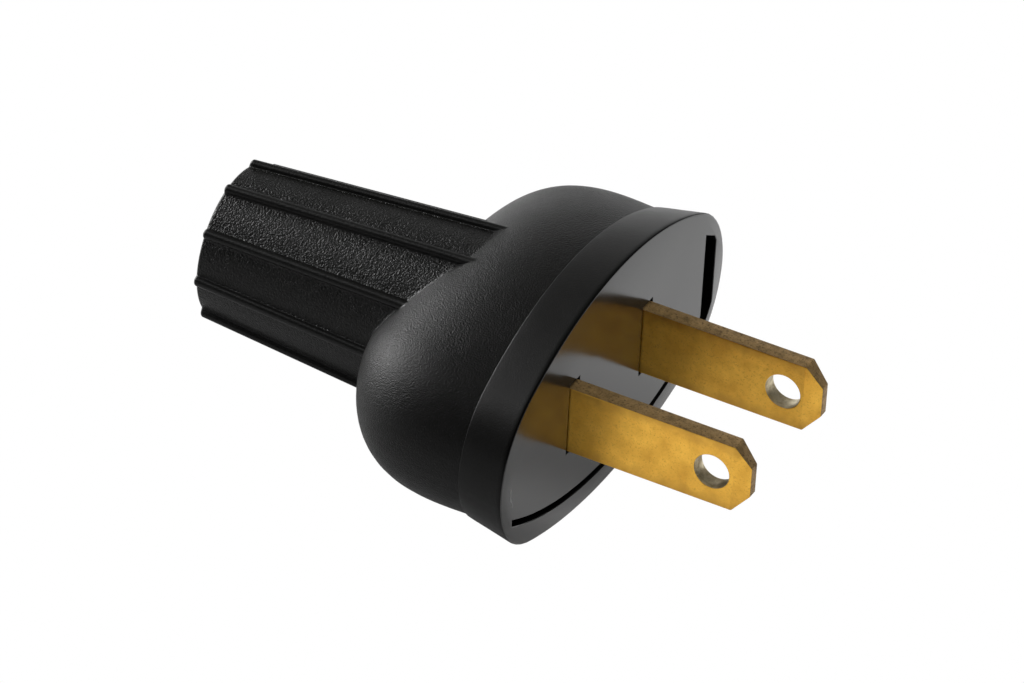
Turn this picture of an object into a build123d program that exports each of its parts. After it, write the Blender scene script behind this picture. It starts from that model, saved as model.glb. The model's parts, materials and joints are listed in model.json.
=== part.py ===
from build123d import *
import math
import os

# Two-blade cord plug, wired by hand, without its cord. Millimetres.
#
# Every piece is first made in the plug's own frame: X runs along the blades, out of the face,
# Y runs across the face from the left blade to the right one, Z is up, and the face lies on X = 0
# with the axis of the handle through its middle. At the end all pieces are laid down together.

# Oval face and the band behind it. The round ends of the oval lie a little below the handle's axis.
face_half_width = 19.5
face_top = 11.05
face_bottom = 10.5
face_end_radius = 8.4
face_end_height = -0.27
face_edge_chamfer = 0.2
band_depth = 4.35
band_draft_angle = 11.0
ridge_step = 0.15

# Dome, from the back of the band to the handle: the powers of the curves that its sides and top follow,
# and how round its ends are at the band and at the rear, as shares of its half-height
dome_depth = 15.0
dome_side_powers = (3.6, 2.17)
dome_top_powers = (2.75, 1.19)
dome_round_shares = (0.8, 0.95)
dome_strips = 15
dome_strip_crowding = 0.62
dome_last_section_share = 0.97

# Handle, with half-round ribs along it
handle_rear = 35.8
handle_rear_radius = 6.67
handle_growth = 0.078
handle_edge_chamfer = 0.25
handle_root = 10.0
rib_count = 10
rib_radius = 0.44
rib_lift = 0.12
rib_end_profile = ((0.0, 0.1), (0.15, 0.36), (0.5, 0.7))

# Inside of the body
chamber_depth = 13.5
chamber_mouth_depth = 3.0
chamber_mouth_angle = 24.0
chamber_room_angle = 10.0
cord_bore_radius = 4.0
cord_bore_chamfer = 0.5

# Face flap, part of the same moulding: slit below and on the right, crease round the other two sides
flap_thickness = 2.0
flap_rim = 1.8
flap_right_end = 15.8
flap_low_radius = 36.8
flap_low_middle = (0.2, -8.15)
flap_corner_radius = 1.8
rim_width = 1.65
rim_width_least = 1.0
slit_width_low = 0.6
slit_width_right = 2.05
slit_left_end = (-17.3, -3.2)
slit_right_end_z = 4.5
slit_right_end_slope = -0.606
crease_width = 0.25
crease_depth = 0.12
hinge_web = 1.0
hinge_groove_width = 1.3
hinge_end_gap = 0.3

# Sleeves round the blades and the web between them, on the back of the flap
sleeve_depth = 1.8
sleeve_wall = 1.2
web_thickness = 1.2
web_depth = 5.0
web_half_height = 5.6

# Blades
pair_shift_y = -0.94
pair_shift_z = 0.52
blade_spacing = 12.7
blade_width = 6.35
blade_thickness = 1.5
blade_reach = 16.5
blade_hole_radius = 1.58
blade_hole_from_tip = 3.46
blade_tip_cut_x = 1.5
blade_tip_cut_z = 1.78
blade_tip_thickness = 0.95
blade_tip_bevel = 1.6
blade_shoulder_width = 8.4
blade_tongue_width = 5.0
blade_tongue_depth = 1.3
slot_clearance_y = 0.25
slot_clearance_z = 0.35
seat_clearance = 0.1

# Terminals
screw_from_chamber_back = 4.8
screw_radius = 1.75
screw_clearance = 0.06
screw_head_radius = 3.1
screw_head_height = 2.0
screw_head_chamfer = 0.4
screw_slot_width = 0.9
screw_slot_depth = 1.0
screw_end_past_blade = 1.2
clamp_side = 6.8
clamp_thickness = 1.0
clamp_corner_radius = 1.0

# How far the shapes that cut reach past what they cut
cut_overrun = 1.0

# Worked out from the sizes above
screw_from_face = chamber_depth - screw_from_chamber_back
blade_shoulder_front = flap_thickness + sleeve_depth + seat_clearance
blade_shoulder_back = chamber_depth - seat_clearance
blade_y = {
    "left": pair_shift_y - blade_spacing / 2,
    "right": pair_shift_y + blade_spacing / 2,
}
outward = {"left": -1, "right": 1}
rib_crest_rear = -handle_rear + rib_end_profile[-1][0]
ridge_inset = band_depth * math.tan(math.radians(band_draft_angle)) + ridge_step


def handle_radius(x):
    """Radius of the handle between its ribs."""
    return handle_rear_radius + handle_growth * (x + handle_rear)


def outer_size(x):
    """Sizes of the oval that the dome's outside makes at x, in the order that arc_oval takes them."""
    s = (-x - band_depth) / dome_depth
    narrowing = (1 - s ** dome_side_powers[0]) ** (1 / dome_side_powers[1])
    lowering = (1 - s ** dome_top_powers[0]) ** (1 / dome_top_powers[1])
    half_width = (face_half_width - ridge_inset) * narrowing
    top = (face_top - ridge_inset) * lowering
    bottom = (face_bottom - ridge_inset) * lowering
    end_height = face_end_height * (1 - s)
    round_share = dome_round_shares[0] + s * (dome_round_shares[1] - dome_round_shares[0])
    end_radius = round_share * min(top - end_height, bottom + end_height)
    return half_width, top, bottom, end_radius, end_height


def arc_join(reach, height, end_radius):
    """Where a round end meets the long arc that rises to a height, seen from the middle between the ends."""
    long_radius = (reach**2 + height**2 - end_radius**2) / (2 * (height - end_radius))
    slope = math.atan2(long_radius - height, reach)
    return reach + end_radius * math.cos(slope), end_radius * math.sin(slope)


def arc_oval(x, half_width, top, bottom, end_radius, end_height, inset=0.0):
    """Oval of four arcs on the plane at x, or one drawn in by the same amount all round."""
    half_width, top, bottom, end_radius = (size - inset for size in (half_width, top, bottom, end_radius))
    reach = half_width - end_radius
    y_top, rise = arc_join(reach, top - end_height, end_radius)
    y_low, fall = arc_join(reach, bottom + end_height, end_radius)
    z_top = end_height + rise
    z_low = end_height - fall
    outline = (
        ThreePointArc((y_low, z_low), (half_width, end_height), (y_top, z_top))
        + ThreePointArc((y_top, z_top), (0, top), (-y_top, z_top))
        + ThreePointArc((-y_top, z_top), (-half_width, end_height), (-y_low, z_low))
        + ThreePointArc((-y_low, z_low), (0, -bottom), (y_low, z_low))
    )
    return Plane.YZ.offset(x) * make_face(outline.edges())


def face_outline(x, inset=0.0):
    """Outline of the face, or one that lies further in by the same amount all round."""
    return arc_oval(x, face_half_width, face_top, face_bottom, face_end_radius, face_end_height, inset)


def low_disc(x, growth=0.0):
    """Disc whose lower side is the flap's lower edge, or one that reaches further by the same amount."""
    middle = Pos(flap_low_middle[0], flap_low_middle[1] + flap_low_radius)
    return Plane.YZ.offset(x) * middle * Circle(flap_low_radius + growth)


def left_of(x, y):
    """Square on the plane at x that covers the face left of the line at y."""
    reach = 2 * face_half_width
    return Plane.YZ.offset(x) * Pos(y - reach, 0) * Rectangle(2 * reach, 2 * reach)


def flap_outline(x, inset=0.0):
    """Outline of the flap, or one that lies further in."""
    return face_outline(x, flap_rim + inset) & low_disc(x, -inset) & left_of(x, flap_right_end - inset)


def slab(sketch, depth, taper=0):
    """Sketch on a plane across the plug, thickened towards the handle and narrowing by a taper in degrees."""
    return extrude(sketch, amount=depth, dir=(-1, 0, 0), taper=taper)


def band():
    """Flaring band between the dome and the face, with a small chamfer round the face."""
    front = face_outline(-face_edge_chamfer)
    edge = extrude(front, amount=face_edge_chamfer, dir=(1, 0, 0), taper=45)
    return slab(front, band_depth - face_edge_chamfer, band_draft_angle) + edge


def dome():
    """Bulb that runs from the band down to the handle."""
    sections = []
    for i in range(dome_strips + 1):
        s = dome_last_section_share * (i / dome_strips) ** dome_strip_crowding
        x = -band_depth - s * dome_depth
        sections.append(arc_oval(x, *outer_size(x)))
    return loft(sections, ruled=True)


def handle():
    """Tapered round grip with half-round ribs, whose rear ends are rounded off."""
    rear_radius = handle_radius(-handle_rear)
    front = -handle_root
    grip_profile = Polyline(
        (-handle_rear, 0),
        (-handle_rear, rear_radius - handle_edge_chamfer),
        (-handle_rear + handle_edge_chamfer, handle_radius(-handle_rear + handle_edge_chamfer)),
        (front, handle_radius(front)),
        (front, 0),
        close=True,
    )
    grip = revolve(Plane.XZ * make_face(grip_profile), Axis.X)
    start = Vector(-handle_rear, rear_radius + rib_lift, 0)
    end = Vector(front, handle_radius(front) + rib_lift, 0)
    rib = extrude(Plane(origin=start, z_dir=end - start) * Circle(rib_radius), amount=(end - start).length)
    for i in range(rib_count):
        grip += Rot(360 * i / rib_count, 0, 0) * rib
    wide = 2 * rear_radius
    rounded_end = [(x - handle_rear, rear_radius + rise) for x, rise in rib_end_profile]
    envelope_profile = Polyline(
        (-handle_rear, 0), *rounded_end, (wide - handle_rear, wide), (0, wide), (0, 0), close=True
    )
    return grip & revolve(Plane.XZ * make_face(envelope_profile), Axis.X)


def chamber():
    """Room for the wires and terminals behind the flap: a mouth that narrows fast, then a deeper part."""
    mouth_back = flap_thickness + chamber_mouth_depth
    mouth_inset = rim_width + chamber_mouth_depth * math.tan(math.radians(chamber_mouth_angle))
    mouth = slab(face_outline(-flap_thickness, rim_width), chamber_mouth_depth, chamber_mouth_angle)
    room = slab(face_outline(-mouth_back, mouth_inset), chamber_depth - mouth_back, chamber_room_angle)
    return mouth + room


def cord_bore():
    """Round way for the cord, from the rear end of the handle to the chamber."""
    length = handle_rear - chamber_depth
    rear = Plane.YZ.offset(-handle_rear)
    bore = extrude(rear * Circle(cord_bore_radius), amount=length + cut_overrun)
    lead_in = Solid.make_cone(
        cord_bore_radius + cord_bore_chamfer, cord_bore_radius, cord_bore_chamfer, plane=rear
    )
    return bore + lead_in


def slit_zone(margin=0.0):
    """Part of the face that the slit runs in: below its two ends, the right one cut at a slope."""
    reach = 2 * face_half_width
    left = slit_left_end[0] - margin
    inner_z = slit_right_end_z + margin
    outer_z = inner_z + slit_right_end_slope * (reach - flap_right_end)
    outline = Polyline(
        (left, slit_left_end[1] + margin),
        (left, -reach),
        (reach, -reach),
        (reach, outer_z),
        (flap_right_end, inner_z),
        (0, 0),
        close=True,
    )
    return slab(Plane.YZ * make_face(outline), flap_thickness)


def slit():
    """Gap between the flap and the rim, round the bottom and the right."""
    outer = low_disc(0, slit_width_low) & left_of(0, flap_right_end + slit_width_right)
    outer &= face_outline(0, rim_width_least)
    inner = low_disc(0) & left_of(0, flap_right_end)
    inner = fillet(inner.vertices().sort_by(Axis.Z)[0], flap_corner_radius)
    return (slab(outer, flap_thickness) - slab(inner, flap_thickness)) & slit_zone()


def hinge_cuts():
    """Fine crease on the front of the flap's hinge and the groove behind it that lets it bend."""
    zone = slit_zone(hinge_end_gap)
    crease = slab(flap_outline(0), crease_depth) - slab(flap_outline(0, crease_width), crease_depth)
    groove_depth = flap_thickness - hinge_web
    groove = slab(flap_outline(-hinge_web), groove_depth)
    groove -= slab(flap_outline(-hinge_web, hinge_groove_width), groove_depth)
    return (crease - zone) + (groove - zone)


def blade_box(side, x_front, x_back, thickness, width):
    """Block in line with a blade, between two depths behind the face."""
    middle = Pos(-(x_front + x_back) / 2, blade_y[side], pair_shift_z)
    return middle * Box(x_back - x_front, thickness, width)


def body():
    """The whole moulding: handle, dome, band and face flap."""
    solid = band() + dome() + handle()
    solid -= chamber()
    solid -= cord_bore()
    sleeve_back = flap_thickness + sleeve_depth
    web = Pos(-(flap_thickness + web_depth / 2), pair_shift_y, pair_shift_z)
    solid += web * Box(web_depth, web_thickness, 2 * web_half_height)
    slot_thickness = blade_thickness + 2 * slot_clearance_y
    slot_width = blade_width + 2 * slot_clearance_z
    for side in blade_y:
        sleeve = blade_box(
            side, flap_thickness, sleeve_back, slot_thickness + 2 * sleeve_wall, slot_width + 2 * sleeve_wall
        )
        solid += sleeve
    for side in blade_y:
        solid -= blade_box(side, 0, sleeve_back, slot_thickness, slot_width)
        solid -= blade_box(
            side,
            chamber_depth,
            chamber_depth + blade_tongue_depth,
            blade_thickness + 2 * seat_clearance,
            blade_tongue_width + 2 * seat_clearance,
        )
    solid -= slit()
    solid -= hinge_cuts()
    return solid


def blade(side):
    """Stamped blade: holed and cut at the tip, with a wider shank and a tongue that seats in the body."""
    tip = blade_reach
    half = blade_width / 2
    shoulder = blade_shoulder_width / 2
    tongue = blade_tongue_width / 2
    shank_front = -blade_shoulder_front
    shank_back = -blade_shoulder_back
    tongue_back = -(chamber_depth + blade_tongue_depth - seat_clearance)
    upper = [
        (tip, half - blade_tip_cut_z),
        (tip - blade_tip_cut_x, half),
        (shank_front, half),
        (shank_front, shoulder),
        (shank_back, shoulder),
        (shank_back, tongue),
        (tongue_back, tongue),
    ]
    lower = [(x, -z) for x, z in reversed(upper)]
    outline = Plane.XZ * make_face(Polyline(*upper, *lower, close=True))
    solid = extrude(outline, amount=blade_thickness / 2, both=True)
    # The tip thins from both faces.
    thin = blade_tip_thickness / 2
    thick = blade_thickness / 2
    nose = Polyline(
        (tip, thin),
        (tip - blade_tip_bevel, thick),
        (tip - blade_tip_bevel, thick + cut_overrun),
        (tip + cut_overrun, thick + cut_overrun),
        (tip + cut_overrun, thin),
        close=True,
    )
    bevel = extrude(Plane.XY * make_face(nose), amount=blade_width, both=True)
    solid -= bevel
    solid -= mirror(bevel, Plane.XZ)
    across = Rot(90, 0, 0)
    tip_hole = Cylinder(blade_hole_radius, 2 * blade_thickness)
    solid -= Pos(tip - blade_hole_from_tip, 0, 0) * across * tip_hole
    screw_hole = Cylinder(screw_radius + screw_clearance, 2 * blade_thickness)
    solid -= Pos(-screw_from_face, 0, 0) * across * screw_hole
    return Pos(0, blade_y[side], pair_shift_z) * solid


def on_terminal(side):
    """Place on the outer face of a blade at its screw, Z pointing away from the blade."""
    y = blade_y[side] + outward[side] * blade_thickness / 2
    return Pos(-screw_from_face, y, pair_shift_z) * Rot(-90 * outward[side], 0, 0)


def wire_clamp(side):
    """Square plate that the screw presses on the wire."""
    plate = extrude(RectangleRounded(clamp_side, clamp_side, clamp_corner_radius), amount=clamp_thickness)
    plate -= Cylinder(screw_radius + screw_clearance, 4 * clamp_thickness)
    return on_terminal(side) * plate


def terminal_screw(side):
    """Slotted binding screw."""
    head_base = clamp_thickness
    below = blade_thickness + screw_end_past_blade
    head = Pos(0, 0, head_base + screw_head_height / 2) * Cylinder(screw_head_radius, screw_head_height)
    top_edge = head.edges().filter_by(GeomType.CIRCLE).sort_by(Axis.Z)[-1]
    head = chamfer(top_edge, screw_head_chamfer)
    length = head_base + below
    shank = Pos(0, 0, head_base - length / 2) * Cylinder(screw_radius, length)
    slot_bottom = head_base + screw_head_height - screw_slot_depth
    slot_middle = Pos(0, 0, slot_bottom + screw_slot_depth)
    slot = slot_middle * Box(3 * screw_head_radius, screw_slot_width, 2 * screw_slot_depth)
    return on_terminal(side) * (head + shank - slot)


def rest_tilt():
    """Degrees that the plug leans back when it lies with the band and two ribs on a table."""
    rib_pitch = 360 / rib_count
    bottom_turn = 270
    nearest_rib = rib_pitch * round(bottom_turn / rib_pitch)
    rib_middle = handle_radius(rib_crest_rear) + rib_lift
    low = rib_middle * math.cos(math.radians(bottom_turn - nearest_rib)) + rib_radius
    return math.degrees(math.atan2(face_bottom - low, -rib_crest_rear))


def pieces():
    """Every piece by name, in the plug's own frame."""
    made = {"body": body()}
    for side in blade_y:
        made["blade_" + side] = blade(side)
        made["wire_clamp_" + side] = wire_clamp(side)
        made["terminal_screw_" + side] = terminal_screw(side)
    return made


def main():
    # The origin moves to the middle between the blades on the face, then the plug leans back.
    lay_down = Rot(0, -rest_tilt(), 0) * Pos(0, -pair_shift_y, -pair_shift_z)
    print("rest tilt, degrees", round(rest_tilt(), 3))
    os.makedirs("parts", exist_ok=True)
    for name, shape in pieces().items():
        placed = lay_down * shape
        export_step(placed, "parts/" + name + ".step")
        print(name, "solids", len(placed.solids()), "volume", round(placed.volume, 1))


main()
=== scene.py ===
# %% [markdown]
# A two-blade cord plug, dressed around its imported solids.
# The real thing is one black vinyl moulding with two brass blades in it. The frame already holds every piece
# at its real size, so this script only adds what the eye wants: smooth curves, small edges, grain and metal.

# %% Load the frame
import json
import math

import bmesh
import bpy
import numpy as np
from mathutils import Matrix, Vector


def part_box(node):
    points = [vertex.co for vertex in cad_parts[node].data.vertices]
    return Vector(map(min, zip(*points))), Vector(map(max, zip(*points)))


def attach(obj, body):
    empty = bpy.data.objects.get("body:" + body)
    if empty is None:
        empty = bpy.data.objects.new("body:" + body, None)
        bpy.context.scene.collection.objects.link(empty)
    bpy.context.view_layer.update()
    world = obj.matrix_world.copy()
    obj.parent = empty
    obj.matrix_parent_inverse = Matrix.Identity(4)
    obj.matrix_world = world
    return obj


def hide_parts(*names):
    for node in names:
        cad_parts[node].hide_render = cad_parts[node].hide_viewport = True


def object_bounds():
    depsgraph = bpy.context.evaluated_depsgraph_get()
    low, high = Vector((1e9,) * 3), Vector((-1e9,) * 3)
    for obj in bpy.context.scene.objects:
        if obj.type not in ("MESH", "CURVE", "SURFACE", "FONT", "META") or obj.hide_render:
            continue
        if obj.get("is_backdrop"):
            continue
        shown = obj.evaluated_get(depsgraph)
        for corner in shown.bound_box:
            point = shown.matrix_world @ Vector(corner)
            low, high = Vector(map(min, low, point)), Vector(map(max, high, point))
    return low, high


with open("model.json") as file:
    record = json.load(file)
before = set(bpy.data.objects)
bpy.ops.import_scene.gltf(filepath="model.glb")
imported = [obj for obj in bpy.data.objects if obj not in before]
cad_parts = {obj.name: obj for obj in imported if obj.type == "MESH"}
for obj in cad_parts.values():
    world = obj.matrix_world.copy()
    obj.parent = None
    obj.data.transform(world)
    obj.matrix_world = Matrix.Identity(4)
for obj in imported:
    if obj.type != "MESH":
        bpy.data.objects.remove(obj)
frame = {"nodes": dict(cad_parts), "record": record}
cad_low, cad_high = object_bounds()
print("CAD box in mm", [round(1000 * (b - a), 1) for a, b in zip(cad_low, cad_high)])

# %% [markdown]
# The plug lies on a table, so it leans back a few degrees. It is far easier to model it straight: X out of the
# face, Y from the left blade to the right one, Z up. The frame's mounts say where that straight frame lies, so
# one function carries points from it, in millimetres, to the shared frame, in metres.

# %% The plug's own frame
mm = 0.001
full_turn = 2 * math.pi
mounts = {mount["name"]: mount for mount in frame["record"]["mounts"]}
face_axis = Vector(mounts["outlet_face"]["axis"])
up_axis = Vector((-face_axis.z, 0, face_axis.x))
inlet = Vector(mounts["cord_inlet"]["pos_m"])
face_middle = inlet - face_axis * inlet.dot(face_axis)


def to_row(points):
    """Points of the plug's own frame in millimetres, as metres in the shared frame."""
    x, y, z = np.asarray(points, float).reshape(-1, 3).T * mm
    across = np.array((0.0, 1.0, 0.0))
    return np.array(face_middle) + np.outer(x, face_axis) + np.outer(y, across) + np.outer(z, up_axis)


def from_row(point):
    """A point of the shared frame in metres, in the plug's own frame in millimetres."""
    away = Vector(point) - face_middle
    return away.dot(face_axis) / mm, away.y / mm, away.dot(up_axis) / mm


print("lean in degrees", round(math.degrees(math.atan2(face_axis.z, face_axis.x)), 2))

# %% [markdown]
# The photograph is a long-lens studio shot from the front left and above, slightly rolled. A camera placed by
# angle, distance and lens can be read and adjusted, which a bare matrix can't.

# %% Camera
view_azimuth = math.radians(22.485)
view_elevation = math.radians(38.638)
view_roll = math.radians(9.913)
view_distance = 655.36 * mm
view_aim = Vector((-8.03, -2.39, 1.08)) * mm
lens_length = 281.96

camera_data = bpy.data.cameras.new("photo_camera")
camera_data.lens = lens_length
camera_data.sensor_width = 36.0
camera_data.clip_start = 0.01
camera = bpy.data.objects.new("photo_camera", camera_data)
bpy.context.scene.collection.objects.link(camera)
sight = Vector((
    -math.sin(view_azimuth) * math.cos(view_elevation),
    math.cos(view_azimuth) * math.cos(view_elevation),
    -math.sin(view_elevation),
))
camera.matrix_world = (
    Matrix.Translation(view_aim - sight * view_distance)
    @ sight.to_track_quat("-Z", "Y").to_matrix().to_4x4()
    @ Matrix.Rotation(view_roll, 4, "Z")
)
bpy.context.scene.camera = camera
print("camera at", [round(c, 3) for c in camera.matrix_world.translation])

# %% [markdown]
# The plug was shot on white and cut out: the floor is pure white to the camera, with no shadow. What the plug
# reflects tells more. Its dark middle shows a dark room above and in front, and its pale rims show a white table
# that the plug shades.

# %% Floor and world
floor_white = 0.85
floor_glow_in_reflections = 0.12
floor_half = 3.0
floor_z = cad_low[2]
room_colour, room_strength = (0.9, 0.95, 1, 1), 0.02

bpy.context.scene.view_settings.view_transform = "Standard"


def white_floor():
    """Floor material: pure white to the camera, and a matt white table to everything else."""
    material = bpy.data.materials.new("floor_white")
    material.use_nodes = True
    nodes, links = material.node_tree.nodes, material.node_tree.links
    nodes.clear()
    out = nodes.new("ShaderNodeOutputMaterial")
    matt = nodes.new("ShaderNodeBsdfDiffuse")
    matt.inputs["Color"].default_value = (floor_white, floor_white, floor_white, 1)
    glow = nodes.new("ShaderNodeEmission")
    glow.inputs["Strength"].default_value = 1.0
    path = nodes.new("ShaderNodeLightPath")
    share = nodes.new("ShaderNodeMath")
    share.operation = "MULTIPLY_ADD"
    share.use_clamp = True
    share.inputs[1].default_value = floor_glow_in_reflections
    links.new(path.outputs["Is Glossy Ray"], share.inputs[0])
    links.new(path.outputs["Is Camera Ray"], share.inputs[2])
    mix = nodes.new("ShaderNodeMixShader")
    links.new(share.outputs[0], mix.inputs[0])
    links.new(matt.outputs[0], mix.inputs[1])
    links.new(glow.outputs[0], mix.inputs[2])
    links.new(mix.outputs[0], out.inputs["Surface"])
    return material


floor_mesh = bpy.data.meshes.new("floor")
floor_mesh.from_pydata(
    [(x * floor_half, y * floor_half, floor_z) for x, y in ((-1, -1), (1, -1), (1, 1), (-1, 1))],
    [],
    [(0, 1, 2, 3)],
)
floor = bpy.data.objects.new("floor", floor_mesh)
floor.data.materials.append(white_floor())
bpy.context.scene.collection.objects.link(floor)
floor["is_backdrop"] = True

world = bpy.data.worlds.new("studio")
bpy.context.scene.world = world
world.use_nodes = True
room = world.node_tree.nodes["Background"]
room.inputs["Color"].default_value = room_colour
room.inputs["Strength"].default_value = room_strength
print("floor at", round(floor_z, 5))

# %% [markdown]
# The bright patch on the dome's shoulder is a low soft box on the left, and paler ones stand above it and behind.
# The overhead lamp only lights the table: in the photo nothing mirrors it.

# %% Lamps
def soft_box(name, azimuth, elevation, distance, size, power):
    """Area lamp in a direction in degrees, at a distance in metres, turned to the plug."""
    turn, rise = math.radians(azimuth), math.radians(elevation)
    sideways = math.cos(rise)
    outward = Vector((math.cos(turn) * sideways, math.sin(turn) * sideways, math.sin(rise)))
    data = bpy.data.lights.new(name, "AREA")
    data.shape = "RECTANGLE"
    data.size, data.size_y = size
    data.energy = power
    lamp = bpy.data.objects.new(name, data)
    bpy.context.scene.collection.objects.link(lamp)
    turned = (-outward).to_track_quat("-Z", "Y").to_matrix().to_4x4()
    lamp.matrix_world = Matrix.Translation(outward * distance) @ turned
    return lamp


lamps = [soft_box(*values) for values in (
    # name, azimuth, elevation, distance, width and height, watts
    ("box_overhead", 60.0, 66.0, 0.7, (0.5, 0.5), 4.6),
    ("box_left", 172.0, 10.0, 0.7, (0.44, 0.32), 10.0),
    ("box_left_high", 200.0, 46.0, 0.7, (0.26, 0.26), 0.95),
    ("box_behind", 112.0, 13.0, 1.0, (1.0, 0.6), 1.3),
    ("box_front", 244.0, 47.0, 0.7, (0.3, 0.3), 0.05),
)]
lamps[0].visible_glossy = False
print("lamps", [lamp.name for lamp in lamps])

# %% [markdown]
# The outlines are drawn once, as distances from the handle's axis at an angle round it. An oval of four arcs
# gives the face, the band and the slit; a rounded oval that turns boxier gives the dome; a circle with bumps
# gives the ribbed handle. All of them are the frame's sizes, so the skin lies on the solids.

# %% Outlines
face_half_width, face_top, face_bottom = 19.5, 11.05, 10.5
face_end_radius, face_end_height = 8.4, -0.27
band_depth, band_slope = 4.35, math.tan(math.radians(11.0))
ridge_step = 0.15
dome_depth = 15.0
dome_side_powers, dome_top_powers = (3.6, 2.17), (2.75, 1.19)
dome_roundness, dome_roundness_gain = 0.8, 0.15
handle_rear, handle_rear_radius, handle_growth = 35.8, 6.67, 0.078
handle_root = 10.0
rib_count, rib_radius, rib_lift, rib_foot = 10, 0.44, 0.12, 1.3
rib_pitch = full_turn / rib_count
rib_end_round, rib_end_least, rear_round = 0.3, 0.3, 0.25


def arc_oval_reach(angle, half_width, top, bottom, end_radius, end_height):
    """Distance from the axis to an oval of four arcs, at an angle round it. The ends lie at end_height."""
    c, s = np.abs(np.cos(angle)), np.sin(angle)
    reach = half_width - end_radius
    along = reach * c + end_height * s
    end = along + np.sqrt(np.maximum(end_radius**2 - reach**2 - end_height**2 + along**2, 0))
    side = np.where(end * s > end_height, 1, -1)
    height = np.where(side > 0, top - end_height, bottom + end_height)
    long_radius = (reach**2 + height**2 - end_radius**2) / (2 * (height - end_radius))
    drop = long_radius - height
    middle = end_height - side * drop
    long = middle * s + np.sqrt(long_radius**2 - (middle * c) ** 2)
    at_end = np.arctan2(np.abs(end * s - end_height), end * c - reach) < np.arctan2(drop, reach)
    return np.where(at_end, end, long)


def face_reach(angle, inset):
    """The same for the face's outline drawn in by the same amount all round."""
    sizes = (face_half_width, face_top, face_bottom, face_end_radius)
    return arc_oval_reach(angle, *(size - inset for size in sizes), face_end_height)


def dome_reach(angle, s):
    """Distance from the axis to the dome, s running from 0 at the band to 1 at its rear pole."""
    inset = band_depth * band_slope + ridge_step
    narrowing = (1 - s ** dome_side_powers[0]) ** (1 / dome_side_powers[1])
    lowering = (1 - s ** dome_top_powers[0]) ** (1 / dome_top_powers[1])
    top, bottom = (face_top - inset) * lowering, (face_bottom - inset) * lowering
    end_height = face_end_height * (1 - s)
    roundness = dome_roundness + dome_roundness_gain * s
    end_radius = roundness * np.minimum(top - end_height, bottom + end_height)
    return arc_oval_reach(angle, (face_half_width - inset) * narrowing, top, bottom, end_radius, end_height)


def rib_half_angle(x):
    """Half the angle that a rib takes up at x, which shrinks as the handle widens."""
    x = np.minimum(x, -handle_root)
    return np.arcsin(rib_radius / (handle_rear_radius + handle_growth * (x + handle_rear) + rib_lift))


def rounded_step(t, size):
    """Runs from 0 to 1 over a quarter round of this size."""
    return np.sqrt(1 - (1 - np.clip(t / size, 0, 1)) ** 2)


def handle_reach(angle, x):
    """Distance from the axis to the handle with its half-round ribs, rounded off at its rear end."""
    from_rear = x + handle_rear
    rib_size = np.maximum(rounded_step(from_rear, rib_end_round), rib_end_least)
    off = np.abs((angle + rib_pitch / 2) % rib_pitch - rib_pitch / 2) / rib_half_angle(x) / rib_size
    crest = rib_size * (rib_lift + rib_radius * np.sqrt(np.maximum(1 - off**2, 0)))
    on_rib = np.clip((rib_foot - off) / (rib_foot - 1), 0, 1) ** 2
    panel = rear_round * (rounded_step(from_rear, rear_round) - 1)
    return handle_rear_radius + handle_growth * from_rear + panel + on_rib * (crest - panel)


print("ridge half-width", round(float(dome_reach(0.0, 0.0)), 2), "mm")

# %% [markdown]
# The skin is one sheet of quads: each column runs from the cord bore round the rear edge, up the handle, over
# the dome and the band to the face. The columns crowd together at the ribs, where the shape turns fast. Where
# the handle meets the dome, each column is bent with a small curve, which gives the moulding its soft corner.

# %% Columns of the skin
rib_offsets = (0.13, 0.37, 0.58, 0.75, 0.87, 0.95, 0.99, 1.03, 1.1, 1.18, rib_foot)
panel_columns = 9


def column_places():
    """For each column its fixed turn round the axis, and how much of a rib's half-angle is added to it."""
    offsets = [-u for u in reversed(rib_offsets)] + list(rib_offsets)
    turns, shares = [], []
    for k in range(rib_count):
        turns += [k * rib_pitch] * len(offsets)
        shares += offsets
        for i in range(panel_columns):
            f = (i + 1) / (panel_columns + 1)
            turns.append((k + f) * rib_pitch)
            shares.append((1 - 2 * f) * rib_foot)
    return np.array(turns), np.array(shares)


column_turns, column_shares = column_places()


def angles_at(x):
    """Angle of every column at x, so that the columns on a rib stay on it."""
    return column_turns + column_shares * rib_half_angle(x)


def meeting_point():
    """How far round the dome (its s) each column leaves the handle."""
    low = np.zeros_like(column_turns)
    high = np.full_like(column_turns, 0.9999)
    for _ in range(50):
        middle = (low + high) / 2
        x = -band_depth - middle * dome_depth
        outside = dome_reach(angles_at(x), middle) > handle_reach(angles_at(x), x)
        low = np.where(outside, middle, low)
        high = np.where(outside, high, middle)
    return (low + high) / 2


meet_s = meeting_point()
meet_x = -band_depth - meet_s * dome_depth
print("columns", len(meet_s), "handle meets dome from", round(meet_x.min(), 1), "to", round(meet_x.max(), 1))

# %% [markdown]
# A row holds x and the distance from the axis for every column. Rows crowd together where the profile turns: at
# the rear edge, in the corner with the dome, on the ridge and round the face.

# %% Rows of the skin
bore_radius, bore_lead_in = 4.0, 0.5
chamber_depth = 13.5
corner_radius = 0.2
front_round = 0.2
ridge_round = 0.1
rear_steps = (0.0, 0.01, 0.03, 0.06, 0.1, 0.15, 0.2, 0.25, 0.32, 0.4, 0.5, 0.7, 1.0, 1.5)
handle_rows, dome_rows = 19, 34
dome_crowding = 1.6
band_depths = (3.6, 2.4, 1.2, 0.5)


def on_dome(s):
    """A row of the skin on the dome."""
    x = -band_depth - s * dome_depth
    return x, dome_reach(angles_at(x), s)


def on_handle(x):
    """A row of the skin on the handle."""
    return x, handle_reach(angles_at(x), x)


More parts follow.
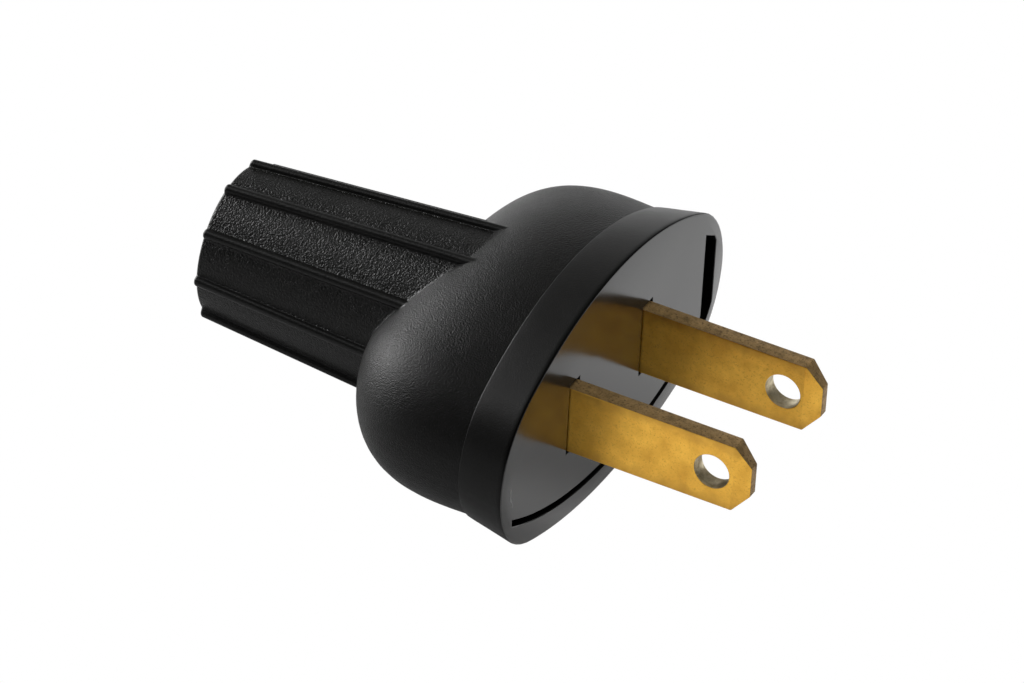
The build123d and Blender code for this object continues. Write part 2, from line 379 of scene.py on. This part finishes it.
def dome_share_near(distance):
    """The dome's s a short way along its surface from where each column leaves the handle."""
    low, high = np.zeros_like(meet_s), meet_s.copy()
    for _ in range(40):
        middle = (low + high) / 2
        along = np.hypot((middle - meet_s) * dome_depth, on_dome(middle)[1] - on_dome(meet_s)[1])
        near = along < distance
        high = np.where(near, middle, high)
        low = np.where(near, low, middle)
    return (low + high) / 2


def skin_rows():
    """Rows of (x, distance from the axis) for all columns, from deep in the cord bore to the face."""
    flat = np.ones_like(meet_s)
    rear = -handle_rear * flat
    bore = ((0.5 - chamber_depth, 0.0), (-20.0, 0.0), (-28.0, 0.0), (bore_lead_in - handle_rear, 0.0))
    lead_in = ((0.2 - handle_rear, 0.12), (0.05 - handle_rear, 0.27), (-handle_rear, bore_lead_in))
    rows = [(x * flat, (bore_radius + wider) * flat) for x, wider in bore + lead_in]
    rows.append((rear, (on_handle(rear)[1] + bore_radius + bore_lead_in) / 2))
    rows += [on_handle(rear + t) for t in rear_steps]
    # Up the handle, stopping short of the dome, then a small curve, then over the dome to the band.
    start, stop = rear + rear_steps[-1], meet_x - corner_radius
    for t in np.linspace(0, 1, handle_rows)[1:]:
        rows.append(on_handle(start + t * (stop - start)))
    leave_s = dome_share_near(corner_radius)
    leave, corner, before = on_dome(leave_s), on_dome(meet_s), on_handle(stop)
    for t in (0.2, 0.4, 0.6, 0.8):
        weights = ((1 - t) ** 2, 2 * t * (1 - t), t**2)
        rows.append(tuple(sum(w * p[i] for w, p in zip(weights, (before, corner, leave))) for i in (0, 1)))
    # Even steps in arc: the dome turns fastest near its pole.
    rows += [on_dome(leave_s * (1 - t**dome_crowding)) for t in np.linspace(0, 1, dome_rows)]
    # The band, with a small round on its ridge and another one round the face.
    ridge_inset = (band_depth - front_round) * band_slope
    for turn in (0.0, 30.0, 60.0, 90.0):
        a = math.radians(turn)
        depth = band_depth - ridge_round * (1 - math.cos(a))
        inset = ridge_inset + ridge_round * (1 - math.sin(a))
        rows.append((-depth * flat, face_reach(angles_at(-depth * flat), inset)))
    for depth in (*band_depths, front_round):
        inset = (depth - front_round) * band_slope
        rows.append((-depth * flat, face_reach(angles_at(-depth * flat), inset)))
    for turn in (22.5, 45.0, 67.5, 90.0):
        a = math.radians(turn)
        x = -front_round * (1 - math.sin(a)) * flat
        rows.append((x, face_reach(angles_at(x), front_round * (1 - math.cos(a)))))
    return rows


rows_of_skin = skin_rows()
print("rows", len(rows_of_skin))

# %% [markdown]
# Rows become a mesh with a quad between each two neighbours and a cap on both ends. The result is closed, which
# the booleans further down need.

# %% Skin of the moulding
def mesh_object(name, points, faces):
    """A mesh object from points of the plug's own frame."""
    mesh = bpy.data.meshes.new(name)
    mesh.from_pydata(to_row(points).tolist(), [], faces)
    mesh.validate()
    made = bpy.data.objects.new(name, mesh)
    bpy.context.scene.collection.objects.link(made)
    return made


def solid_normals(made):
    """Turns all faces of a closed mesh outwards."""
    repair = bmesh.new()
    repair.from_mesh(made.data)
    bmesh.ops.recalc_face_normals(repair, faces=repair.faces)
    repair.to_mesh(made.data)
    repair.free()
    return made


def lathe_object(name, rows):
    """A closed solid from rows of (x, distance from the axis, angle): quads between rows, a cap on both ends."""
    points = []
    for x, reach, angle in rows:
        points.append(np.stack([x, reach * np.cos(angle), reach * np.sin(angle)], axis=-1))
    count = len(rows[0][0])
    faces = []
    for i in range(len(rows) - 1):
        for j in range(count):
            k = (j + 1) % count
            faces.append((i * count + j, i * count + k, (i + 1) * count + k, (i + 1) * count + j))
    last = (len(rows) - 1) * count
    faces.append(tuple(range(count))[::-1])
    faces.append(tuple(range(last, last + count)))
    return solid_normals(mesh_object(name, np.concatenate(points), faces))


moulding = lathe_object("moulding", [(x, reach, angles_at(x)) for x, reach in rows_of_skin])
print("skin faces", len(moulding.data.polygons))

# %% [markdown]
# The flap's free edge is a shallow arc below and an upright line on the right, with a rounded corner. The rim
# beyond the slit follows it at a distance, and keeps a least width from the face's outline.

# %% Outlines of the flap and its slit
flap_thickness = 2.0
flap_right_end = 15.8
flap_low_radius, flap_low_middle = 36.8, (0.2, 28.65)
flap_corner_radius = 1.8
slit_width_low, slit_width_right = 0.6, 2.05
rim_width, rim_width_least = 1.65, 1.0


def circle_reach(angle, middle, radius):
    """Distance from the axis to the far side of a circle."""
    along = middle[0] * np.cos(angle) + middle[1] * np.sin(angle)
    return along + np.sqrt(np.maximum(radius**2 - middle[0] ** 2 - middle[1] ** 2 + along**2, 0))


def upright_reach(angle, y):
    """Distance from the axis to an upright line at the right."""
    return y / np.maximum(np.cos(angle), 0.01)


def flap_reach(angle, inset):
    """Distance from the axis to the flap's free edge, whose corner at the lower right is rounded."""
    radius, right = flap_low_radius - inset, flap_right_end - inset
    corner = flap_corner_radius - inset
    y = right - corner
    z = flap_low_middle[1] - math.sqrt((radius - corner) ** 2 - (y - flap_low_middle[0]) ** 2)
    out = ((y - flap_low_middle[0]) / (radius - corner), (z - flap_low_middle[1]) / (radius - corner))
    corner_start = math.atan2(z + corner * out[1], y + corner * out[0])
    corner_end = math.atan2(z, right)
    turn = (angle + math.pi) % full_turn - math.pi
    edge = np.minimum(circle_reach(angle, flap_low_middle, radius), upright_reach(angle, right))
    rounded = circle_reach(angle, (y, z), corner)
    return np.where((turn > corner_start) & (turn < corner_end), rounded, edge)


def slit_outer_reach(angle, inset):
    """Distance from the axis to the rim's edge along the slit."""
    low = circle_reach(angle, flap_low_middle, flap_low_radius + slit_width_low - inset)
    right = upright_reach(angle, flap_right_end + slit_width_right - inset)
    return np.minimum(np.minimum(low, right), face_reach(angle, rim_width_least + inset))


print("flap reaches down", round(float(flap_reach(1.5 * math.pi, 0.0)), 2), "mm")

# %% [markdown]
# What is cut out of the moulding is made as solids of its own: the wiring chamber, the slots for the blades and
# the slit round the flap. A boolean keeps their edges crisp, as the steel cores of the mould leave them.

# %% Cutters, and the wiring chamber
chamber_rings = ((flap_thickness, rim_width), (5.0, 2.986), (chamber_depth, 4.485))
chamber_sides = 96
strip_steps = 240


def strip_cutter(name, inner_ends, outer_ends, inner, outer, depths):
    """A curved bar along the face between two outlines, each from one angle to another.

    depths lists (x, how far both sides open out)."""
    points = []
    for x, flare in depths:
        for reach, ends, side in ((inner, inner_ends, 1), (outer, outer_ends, -1)):
            turn = np.linspace(*ends, strip_steps)
            far = reach(turn, side * flare)
            points.append(np.stack([np.full(strip_steps, x), far * np.cos(turn), far * np.sin(turn)], axis=-1))
    faces = []
    layers = len(depths)
    ring = [2 * k for k in range(layers)] + [2 * k + 1 for k in reversed(range(layers))]
    for a, b in zip(ring, ring[1:] + ring[:1]):
        here, there = a * strip_steps, b * strip_steps
        for j in range(strip_steps - 1):
            faces.append((here + j, here + j + 1, there + j + 1, there + j))
    faces.append(tuple(r * strip_steps for r in ring))
    faces.append(tuple((r + 1) * strip_steps - 1 for r in reversed(ring)))
    return solid_normals(mesh_object(name, np.concatenate(points), faces))


def block_cutter(name, low, high):
    """A plain box between two corners."""
    points = [(x, y, z) for x in (low[0], high[0]) for y in (low[1], high[1]) for z in (low[2], high[2])]
    faces = [(0, 1, 3, 2), (4, 6, 7, 5), (0, 4, 5, 1), (2, 3, 7, 6), (0, 2, 6, 4), (1, 5, 7, 3)]
    return solid_normals(mesh_object(name, np.array(points), faces))


def chamber_cutter():
    """The room behind the flap: a mouth that narrows fast, then a deeper part."""
    turn = np.linspace(0, full_turn, chamber_sides, endpoint=False)
    rows = [(np.full(chamber_sides, -depth), face_reach(turn, inset), turn) for depth, inset in chamber_rings]
    return lathe_object("chamber", rows)


def cut(target, tool, operation="DIFFERENCE"):
    """Applies one boolean and drops the tool."""
    modifier = target.modifiers.new("cut", "BOOLEAN")
    modifier.operation = operation
    modifier.object = tool
    modifier.solver = "MANIFOLD"
    bpy.context.view_layer.update()
    result = bpy.data.meshes.new_from_object(target.evaluated_get(bpy.context.evaluated_depsgraph_get()))
    target.modifiers.clear()
    target.data = result
    bpy.data.objects.remove(tool)


cut(moulding, chamber_cutter())
print("moulding faces with the chamber", len(moulding.data.polygons))

# %% [markdown]
# Behind the flap a sleeve stands round each blade and a web between the two. They are joined to the flap first,
# and then each blade's slot is cut through flap and sleeve at once.

# %% Web, sleeves and slots
blade_middle = {}
for side in ("left", "right"):
    low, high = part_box("blade_" + side)
    blade_middle[side] = ((low.y + high.y) / 2 - face_middle.y) / mm
blade_height = from_row((0, 0, 0))[2]
slot_half_thickness, slot_half_width = 0.9, 3.525
sleeve_back, sleeve_wall = 3.8, 1.2
web_half_thickness, web_back, web_half_height = 0.6, 7.0, 5.6
overlap, cut_overrun = 0.5, 1.0

middle_y = (blade_middle["left"] + blade_middle["right"]) / 2
cut(moulding, block_cutter(
    "web",
    (-web_back, middle_y - web_half_thickness, blade_height - web_half_height),
    (-flap_thickness + overlap, middle_y + web_half_thickness, blade_height + web_half_height),
), "UNION")
for side in ("left", "right"):
    y = blade_middle[side]
    wide, tall = slot_half_thickness + sleeve_wall, slot_half_width + sleeve_wall
    cut(moulding, block_cutter(
        "sleeve",
        (-sleeve_back, y - wide, blade_height - tall),
        (-flap_thickness + overlap, y + wide, blade_height + tall),
    ), "UNION")
for side in ("left", "right"):
    y = blade_middle[side]
    cut(moulding, block_cutter(
        "slot",
        (-sleeve_back - cut_overrun, y - slot_half_thickness, blade_height - slot_half_width),
        (cut_overrun, y + slot_half_thickness, blade_height + slot_half_width),
    ))
print("moulding faces with the slots", len(moulding.data.polygons))

# %% [markdown]
# The slit is a bar bent along the flap's edge, with square ends. Near its left end, where the flap bends, the
# vinyl has pushed up a thin uneven line, which is a bar of the same kind, joined on.

# %% Slit and fold line
slit_left, slit_right = (-17.3, -3.2), (15.8, 4.5)
slit_right_outer = (17.6, 3.41)
slit_edge_round = 0.05
fold_top, fold_shares = math.radians(165.0), (0.62, 0.88)
fold_inset, fold_half_width, fold_height, fold_taper = 1.72, 0.05, 0.035, 0.03


def angle_of(point):
    """Angle of a point of the face round the axis."""
    return math.atan2(point[1], point[0]) % full_turn


def angle_below(radius, y):
    """Angle of the point of a circle round the flap's low middle that lies at y."""
    return angle_of((y, flap_low_middle[1] - math.sqrt(radius**2 - (y - flap_low_middle[0]) ** 2)))


def fold_reach(turn, out):
    """Distance from the axis to one side of the fold line, which wanders a little."""
    wander = 0.05 * np.sin(41 * turn) + 0.03 * np.sin(97 * turn + 1)
    return face_reach(turn, fold_inset + wander + out)


slit_inner_ends = (
    angle_below(flap_low_radius, slit_left[0]),
    full_turn + angle_of(slit_right),
)
slit_outer_ends = (
    angle_below(flap_low_radius + slit_width_low, slit_left[0]),
    full_turn + angle_of(slit_right_outer),
)
cut(moulding, strip_cutter(
    "slit", slit_inner_ends, slit_outer_ends, flap_reach, slit_outer_reach,
    (
        (overlap, slit_edge_round),
        (0.0, slit_edge_round),
        (-slit_edge_round, 0.0),
        (-flap_thickness - cut_overrun, 0.0),
    ),
))
fold_ends = tuple(fold_top + share * (angle_of(slit_left) - fold_top) for share in fold_shares)
cut(moulding, strip_cutter(
    "fold", fold_ends, fold_ends,
    lambda turn, flare: fold_reach(turn, fold_half_width + flare),
    lambda turn, flare: fold_reach(turn, flare - fold_half_width),
    ((-0.2, 0.0), (0.0, 0.0), (fold_height, -fold_taper)),
), "UNION")
print("moulding faces after the cuts", len(moulding.data.polygons))

# %% [markdown]
# The blades, screws and wire plates are flat stampings and turned parts, so their solids are already right. Each
# keeps its form and gets only what a solid lacks: the small round of a sheared or turned edge. The triangles of
# the solid are first joined into whole faces, or the bevel would catch on them.

# %% Metal pieces with broken edges
real_edge_turn = math.radians(28)
metal_crisp_turn, moulding_crisp_turn = math.radians(32), math.radians(38)
square_to_axis = 0.9999
blade_edge_round, fastening_edge_round = 0.08, 0.06


def is_sharp(edge):
    """Whether a mesh edge is a real edge of the piece."""
    return len(edge.link_faces) == 2 and edge.calc_face_angle(0) > real_edge_turn


def smooth_within(made, limit):
    """Smooth shading, but for the faces square to an axis and the edges that turn more than limit."""
    shape = bmesh.new()
    shape.from_mesh(made.data)
    for face in shape.faces:
        face.smooth = max(abs(part) for part in face.normal) < square_to_axis
    for edge in shape.edges:
        edge.smooth = len(edge.link_faces) == 2 and edge.calc_face_angle(0) < limit
    shape.to_mesh(made.data)
    shape.free()


def with_soft_edges(node, name, edge_round):
    """A copy of a CAD node whose sharp edges are rounded, standing for the node."""
    source = frame["nodes"][node]
    mesh = source.data.copy()
    mesh.name = name
    shape = bmesh.new()
    shape.from_mesh(mesh)
    bmesh.ops.remove_doubles(shape, verts=shape.verts, dist=1e-6)
    bmesh.ops.dissolve_limit(
        shape, angle_limit=math.radians(1), use_dissolve_boundaries=False, verts=shape.verts, edges=shape.edges
    )
    bmesh.ops.bevel(
        shape, geom=[e for e in shape.edges if is_sharp(e)], offset=edge_round * mm,
        segments=2, affect="EDGES", profile=0.5, clamp_overlap=True,
    )
    shape.to_mesh(mesh)
    shape.free()
    made = bpy.data.objects.new(name, mesh)
    bpy.context.scene.collection.objects.link(made)
    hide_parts(node)
    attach(made, "root")
    smooth_within(made, metal_crisp_turn)
    return made


blades = [
    with_soft_edges("blade_" + side, "blade_stamping_" + side, blade_edge_round) for side in ("left", "right")
]
print("blade faces", [len(b.data.polygons) for b in blades])
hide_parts("body")
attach(moulding, "root")
smooth_within(moulding, moulding_crisp_turn)
print("moulding and blades stand for", ["body", "blade_left", "blade_right"])

# %% [markdown]
# A surface is rarely one colour or one gloss. The effects that several finishes share are built once as node
# groups. Etched leather grain is a field of uneven pebbles: distances in a warped cell pattern, roughened by fine
# noise and drifting slowly from place to place.

# %% Leather grain
def new_group(name, inputs, outputs):
    """An empty shader node group with float inputs (name, value) and outputs (name, type)."""
    group = bpy.data.node_groups.new(name, "ShaderNodeTree")
    for label, value in inputs:
        socket = group.interface.new_socket(label, in_out="INPUT", socket_type="NodeSocketFloat")
        socket.default_value = value
    for label, kind in outputs:
        group.interface.new_socket(label, in_out="OUTPUT", socket_type=kind)
    nodes = group.nodes
    return group, nodes, group.links, nodes.new("NodeGroupInput"), nodes.new("NodeGroupOutput")


def scaled_place(nodes, links, scale):
    """Object coordinates times a scale socket."""
    place = nodes.new("ShaderNodeTexCoord")
    scaled = nodes.new("ShaderNodeVectorMath")
    scaled.operation = "SCALE"
    links.new(place.outputs["Object"], scaled.inputs[0])
    links.new(scale, scaled.inputs["Scale"])
    return scaled.outputs[0]


def maths(nodes, links, operation, a, b):
    """One Math node on two sockets or numbers."""
    node = nodes.new("ShaderNodeMath")
    node.operation = operation
    for socket, value in zip(node.inputs, (a, b)):
        if isinstance(value, (int, float)):
            socket.default_value = value
        else:
            links.new(value, socket)
    return node.outputs[0]


def leather_grain_group():
    """Pebbled grain: irregular cells with creases between them, uneven from place to place."""
    group, nodes, links, given, made = new_group(
        "leather_grain", [("Cells per metre", 4000.0), ("Unevenness", 0.5)], [("Height", "NodeSocketFloat")]
    )
    place = scaled_place(nodes, links, given.outputs["Cells per metre"])
    warp = nodes.new("ShaderNodeTexNoise")
    warp.inputs["Scale"].default_value = 0.9
    warp.inputs["Detail"].default_value = 2.0
    links.new(place, warp.inputs["Vector"])
    bent = nodes.new("ShaderNodeVectorMath")
    bent.operation = "MULTIPLY_ADD"
    links.new(warp.outputs["Color"], bent.inputs[0])
    bent.inputs[1].default_value = (0.6, 0.6, 0.6)
    links.new(place, bent.inputs[2])
    cells = nodes.new("ShaderNodeTexVoronoi")
    cells.feature = "SMOOTH_F1"
    cells.inputs["Scale"].default_value = 1.0
    cells.inputs["Smoothness"].default_value = 0.8
    links.new(bent.outputs[0], cells.inputs["Vector"])
    fine = nodes.new("ShaderNodeTexNoise")
    fine.inputs["Scale"].default_value = 1.6
    fine.inputs["Detail"].default_value = 1.0
    links.new(place, fine.inputs["Vector"])
    pebbles = maths(nodes, links, "SUBTRACT", fine.outputs["Fac"], cells.outputs["Distance"])
    slow = nodes.new("ShaderNodeTexNoise")
    slow.inputs["Scale"].default_value = 0.35
    slow.inputs["Detail"].default_value = 3.0
    links.new(place, slow.inputs["Vector"])
    drift = maths(nodes, links, "MULTIPLY", slow.outputs["Fac"], given.outputs["Unevenness"])
    links.new(maths(nodes, links, "ADD", pebbles, drift), made.inputs["Height"])
    return group

leather_grain = leather_grain_group()
print("effect", leather_grain.name)

# %% [markdown]
# Anything that has been handled or has aged is mottled, and old brass has small dark specks as well. Both come
# from noise: one stretched round its middle, the other cut off just above it.

# %% Mottling and specks
def mottling_group():
    """Soft blotches with finer specks in them, from 0 to 1."""
    group, nodes, links, given, made = new_group(
        "mottling", [("Blotches per metre", 300.0), ("Contrast", 2.0)], [("Mask", "NodeSocketFloat")]
    )
    place = scaled_place(nodes, links, given.outputs["Blotches per metre"])
    noise = nodes.new("ShaderNodeTexNoise")
    noise.inputs["Scale"].default_value = 1.0
    noise.inputs["Detail"].default_value = 6.0
    noise.inputs["Roughness"].default_value = 0.62
    links.new(place, noise.inputs["Vector"])
    centred = maths(nodes, links, "SUBTRACT", noise.outputs["Fac"], 0.5)
    spread = maths(nodes, links, "MULTIPLY", centred, given.outputs["Contrast"])
    lifted = maths(nodes, links, "ADD", spread, 0.5)
    limit = nodes.new("ShaderNodeClamp")
    links.new(lifted, limit.inputs["Value"])
    links.new(limit.outputs[0], made.inputs["Mask"])
    return group


def specks_group():
    """Small separate specks, from 0 between them to 1 in them."""
    group, nodes, links, given, made = new_group(
        "specks", [("Specks per metre", 4000.0), ("Coverage", 0.4)], [("Mask", "NodeSocketFloat")]
    )
    place = scaled_place(nodes, links, given.outputs["Specks per metre"])
    noise = nodes.new("ShaderNodeTexNoise")
    noise.inputs["Scale"].default_value = 1.0
    noise.inputs["Detail"].default_value = 3.0
    noise.inputs["Roughness"].default_value = 0.7
    links.new(place, noise.inputs["Vector"])
    threshold = maths(nodes, links, "SUBTRACT", 1.0, given.outputs["Coverage"])
    above = maths(nodes, links, "SUBTRACT", noise.outputs["Fac"], threshold)
    limit = nodes.new("ShaderNodeClamp")
    links.new(maths(nodes, links, "MULTIPLY", above, 8.0), limit.inputs["Value"])
    links.new(limit.outputs[0], made.inputs["Mask"])
    return group

mottling = mottling_group()
specks = specks_group()
print("effects", [mottling.name, specks.name])

# %% [markdown]
# Brass is darkest along the long edges of a blade, where fingers rub least. The stain is measured from the middle
# of the blade's width, in a frame turned upright, and noise makes its border wander.

# %% Edge stain
def edge_stain_group():
    """Runs from 0 in the middle of a blade's width to 1 along its edges, unevenly."""
    group, nodes, links, given, made = new_group(
        "edge_stain", [("Lean", 0.0), ("Start", 0.002), ("End", 0.0034)], [("Mask", "NodeSocketFloat")]
    )
    place = nodes.new("ShaderNodeTexCoord")
    upright = nodes.new("ShaderNodeVectorRotate")
    upright.rotation_type = "Y_AXIS"
    links.new(place.outputs["Object"], upright.inputs["Vector"])
    links.new(given.outputs["Lean"], upright.inputs["Angle"])
    parts = nodes.new("ShaderNodeSeparateXYZ")
    links.new(upright.outputs[0], parts.inputs[0])
    noise = nodes.new("ShaderNodeTexNoise")
    noise.inputs["Scale"].default_value = 700.0
    noise.inputs["Detail"].default_value = 4.0
    links.new(place.outputs["Object"], noise.inputs["Vector"])
    centred = maths(nodes, links, "SUBTRACT", noise.outputs["Fac"], 0.5)
    wander = maths(nodes, links, "MULTIPLY", centred, 0.0022)
    from_middle = maths(nodes, links, "ABSOLUTE", parts.outputs["Z"], 0.0)
    ramp = nodes.new("ShaderNodeMapRange")
    links.new(maths(nodes, links, "ADD", from_middle, wander), ramp.inputs["Value"])
    links.new(given.outputs["Start"], ramp.inputs["From Min"])
    links.new(given.outputs["End"], ramp.inputs["From Max"])
    links.new(ramp.outputs["Result"], made.inputs["Mask"])
    return group


edge_stain = edge_stain_group()
print("effect", edge_stain.name)

# %% [markdown]
# All the black finishes share one recipe: nearly black vinyl, mottled in colour and gloss, with a leather grain on
# top of a slow ripple. The helpers place a node group, mix two colours and stretch a mask over a range.

# %% Recipe for black vinyl
def effect(material, group, **values):
    """Places a node group in a material with its own values."""
    node = material.node_tree.nodes.new("ShaderNodeGroup")
    node.node_tree = group
    for label, value in values.items():
        node.inputs[label.replace("_", " ")].default_value = value
    return node


def colour_between(material, mask, first, second):
    """Mixes two colours, or sockets that give one, by a mask."""
    links = material.node_tree.links
    mix = material.node_tree.nodes.new("ShaderNodeMix")
    mix.data_type = "RGBA"
    for label, colour in (("A", first), ("B", second)):
        if isinstance(colour, tuple):
            mix.inputs[label].default_value = (*colour, 1)
        else:
            links.new(colour, mix.inputs[label])
    links.new(mask, mix.inputs["Factor"])
    return mix.outputs["Result"]


def value_between(material, mask, first, second):
    """Maps a mask from 0 to 1 onto a range of values."""
    scale = material.node_tree.nodes.new("ShaderNodeMapRange")
    scale.inputs["To Min"].default_value = first
    scale.inputs["To Max"].default_value = second
    material.node_tree.links.new(mask, scale.inputs["Value"])
    return scale.outputs["Result"]


def black_vinyl(name, dark, light, gloss, shine, grain_size, grain_depth, ripple_depth):
    """Black moulding: gloss is a (shiny, dull) pair of roughness; grain size and depths are in millimetres."""
    material = bpy.data.materials.new(name)
    material.use_nodes = True
    nodes, links = material.node_tree.nodes, material.node_tree.links
    shader = nodes["Principled BSDF"]
    blotches = effect(material, mottling, Blotches_per_metre=220.0, Contrast=1.6)
    links.new(colour_between(material, blotches.outputs["Mask"], dark, light), shader.inputs["Base Color"])
    links.new(value_between(material, blotches.outputs["Mask"], *gloss), shader.inputs["Roughness"])
    shader.inputs["Specular IOR Level"].default_value = shine
    grain = effect(material, leather_grain, Cells_per_metre=1000.0 / grain_size, Unevenness=0.2)
    bump = nodes.new("ShaderNodeBump")
    bump.inputs["Strength"].default_value = 1.0
    bump.inputs["Distance"].default_value = grain_depth * mm
    links.new(grain.outputs["Height"], bump.inputs["Height"])
    ripple = effect(material, mottling, Blotches_per_metre=160.0, Contrast=1.0)
    wave = nodes.new("ShaderNodeBump")
    wave.inputs["Strength"].default_value = 1.0
    wave.inputs["Distance"].default_value = ripple_depth * mm
    links.new(ripple.outputs["Mask"], wave.inputs["Height"])
    links.new(wave.outputs["Normal"], bump.inputs["Normal"])
    links.new(bump.outputs["Normal"], shader.inputs["Normal"])
    return material


print("recipe", black_vinyl.__name__)

# %% [markdown]
# The mould gave the one vinyl five finishes: an etched leather grain on the handle, smoother ribs, a satin dome, a
# fine-grained band and the polished face. The flap's fold line is painted pale grey. Part of that is whitening of
# the bent vinyl and part is a painted highlight along its thin ridge.
# Each face of the skin gets its finish by where it lies.

# %% Moulding finishes
black, handle_grey, dome_grey = (0.0018, 0.0018, 0.0016), (0.003, 0.003, 0.0027), (0.0026, 0.0026, 0.0024)
face_black, face_grey = (0.006, 0.006, 0.006), (0.010, 0.010, 0.010)
# The fold line's pale greys are partly whitening of the bent vinyl and partly a painted highlight along its ridge.
fold_whitening_and_highlight_grey, fold_whitening_and_highlight_white = (0.16, 0.16, 0.16), (0.40, 0.40, 0.39)
moulding_finishes = [black_vinyl(*values) for values in (
    # name, dark, light, roughness, shine, size and depth of the grain, depth of the ripple
    ("vinyl_leather_grain", black, handle_grey, (0.28, 0.38), 0.14, 0.17, 0.050, 0.004),
    ("vinyl_rib", black, handle_grey, (0.34, 0.42), 0.12, 0.16, 0.014, 0.004),
    ("vinyl_satin_grain", black, dome_grey, (0.36, 0.46), 0.11, 0.13, 0.036, 0.004),
    ("vinyl_fine_grain", black, dome_grey, (0.34, 0.40), 0.09, 0.12, 0.010, 0.004),
    ("vinyl_polished", face_black, face_grey, (0.14, 0.20), 0.48, 0.30, 0.001, 0.008),
    # Pale fold line: whitening of the bent vinyl, together with a painted highlight.
    ("vinyl_whitened_painted_highlight", fold_whitening_and_highlight_grey, fold_whitening_and_highlight_white, (0.5, 0.6), 0.5, 0.12, 0.01, 0.004),
)]
handle_index, rib_index, dome_index, band_index, face_index, fold_index = range(6)
dome_margin, rib_margin, ridge_margin = 0.2, 0.06, 0.03
fold_start, face_back, face_outward = 0.2 * fold_height, -0.5, 0.7

moulding.data.materials.clear()
for finish in moulding_finishes:
    moulding.data.materials.append(finish)
for polygon in moulding.data.polygons:
    x, y, z = from_row(polygon.center)
    outward = Vector(polygon.normal).dot(face_axis)
    # The fold line's ridge gets the pale finish, a painted highlight on top of the vinyl's whitening.
    if x > fold_start:
        polygon.material_index = fold_index
    elif x > face_back and outward > face_outward:
        polygon.material_index = face_index
    elif x > -band_depth - ridge_margin:
        polygon.material_index = band_index
    elif math.hypot(y, z) > dome_margin + handle_reach(math.atan2(z, y), min(x, -handle_root)):
        polygon.material_index = dome_index
    elif math.hypot(y, z) > rib_margin + handle_rear_radius + handle_growth * (x + handle_rear):
        polygon.material_index = rib_index
    else:
        polygon.material_index = handle_index
print("finishes on the moulding", [m.name for m in moulding.data.materials])

# %% [markdown]
# Brass that has been handled is golden where it rubs and brown where it doesn't. The stamping press leaves the
# broad sides smooth, the sheared edges rough and dark, and the punched hole paler, so the blades carry three
# finishes. The screws are plated steel.

# %% Metal finishes
def metal(name, bright, dull, gloss, blotches, contrast, scratch_depth, speck=None, stain=None, bare=1.0):
    """Metal with mottled colour and gloss, and fine marks in it. Specks and edge stain are colours, if any.

    bare is the share that isn't under dirt."""
    material = bpy.data.materials.new(name)
    material.use_nodes = True
    nodes, links = material.node_tree.nodes, material.node_tree.links
    shader = nodes["Principled BSDF"]
    shader.inputs["Metallic"].default_value = bare
    patches = effect(material, mottling, Blotches_per_metre=blotches, Contrast=contrast)
    colour = colour_between(material, patches.outputs["Mask"], bright, dull)
    if stain:
        edges = effect(material, edge_stain, Lean=math.atan2(face_axis.z, face_axis.x))
        colour = colour_between(material, edges.outputs["Mask"], colour, stain)
    if speck:
        spots = effect(material, specks, Specks_per_metre=5600.0, Coverage=0.46)
        colour = colour_between(material, spots.outputs["Mask"], colour, speck)
    links.new(colour, shader.inputs["Base Color"])
    links.new(value_between(material, patches.outputs["Mask"], *gloss), shader.inputs["Roughness"])
    marks = effect(material, mottling, Blotches_per_metre=6500.0, Contrast=1.5)
    bump = nodes.new("ShaderNodeBump")
    bump.inputs["Distance"].default_value = scratch_depth * mm
    links.new(marks.outputs["Mask"], bump.inputs["Height"])
    links.new(bump.outputs["Normal"], shader.inputs["Normal"])
    return material


brass_face = metal(
    "brass_aged", (0.92, 0.53, 0.085), (0.70, 0.37, 0.055), (0.30, 0.42), 520.0, 2.4, 0.005,
    speck=(0.64, 0.34, 0.055), stain=(0.52, 0.28, 0.05),
)
brass_edge = metal(
    "brass_sheared", (0.42, 0.27, 0.11), (0.20, 0.13, 0.055), (0.45, 0.65), 1500.0, 2.4, 0.03,
    speck=(0.10, 0.065, 0.03), bare=0.6,
)
brass_bore = metal(
    "brass_punched", (0.85, 0.75, 0.52), (0.34, 0.26, 0.14), (0.30, 0.5), 900.0, 3.0, 0.02, bare=0.8
)
screw_steel = metal("screw_steel", (0.66, 0.65, 0.62), (0.50, 0.49, 0.46), (0.24, 0.38), 400.0, 2.0, 0.003)
clamp_brass = metal("clamp_brass", (0.62, 0.46, 0.22), (0.48, 0.33, 0.14), (0.28, 0.42), 300.0, 2.0, 0.004)
print("metal finishes", [f.name for f in (brass_face, brass_edge, brass_bore, screw_steel, clamp_brass)])

# %% [markdown]
# The faces of a blade are told apart by where they look and lie. The screws and wire plates get their small
# rounds here too, and one finish each.

# %% Metal pieces dressed
hole_middle, hole_radius, hole_margin = 13.04, 1.58, 0.1
for blade in blades:
    blade.data.materials.clear()
    for finish in (brass_face, brass_edge, brass_bore):
        blade.data.materials.append(finish)
    for polygon in blade.data.polygons:
        x, y, z = from_row(polygon.center)
        if abs(polygon.normal.y) > 0.5:
            polygon.material_index = 0
        elif math.hypot(x - hole_middle, z - blade_height) < hole_radius + hole_margin:
            polygon.material_index = 2
        else:
            polygon.material_index = 1
for side in ("left", "right"):
    for node, finish, slot_name in (
        ("terminal_screw_", screw_steel, "screw_metal"),
        ("wire_clamp_", clamp_brass, "clamp_metal"),
    ):
        piece = with_soft_edges(node + side, node + "part_" + side, fastening_edge_round)
        piece.data.materials.clear()
        piece.data.materials.append(finish)
        print("dressed", piece.name, "with", finish.name)

# %% [markdown]
# The last cell prints the box of what shows, to set beside the CAD box printed at the start.

# %% Sizes
low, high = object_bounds()
print("visual box in mm", [round(1000 * (b - a), 1) for a, b in zip(low, high)])
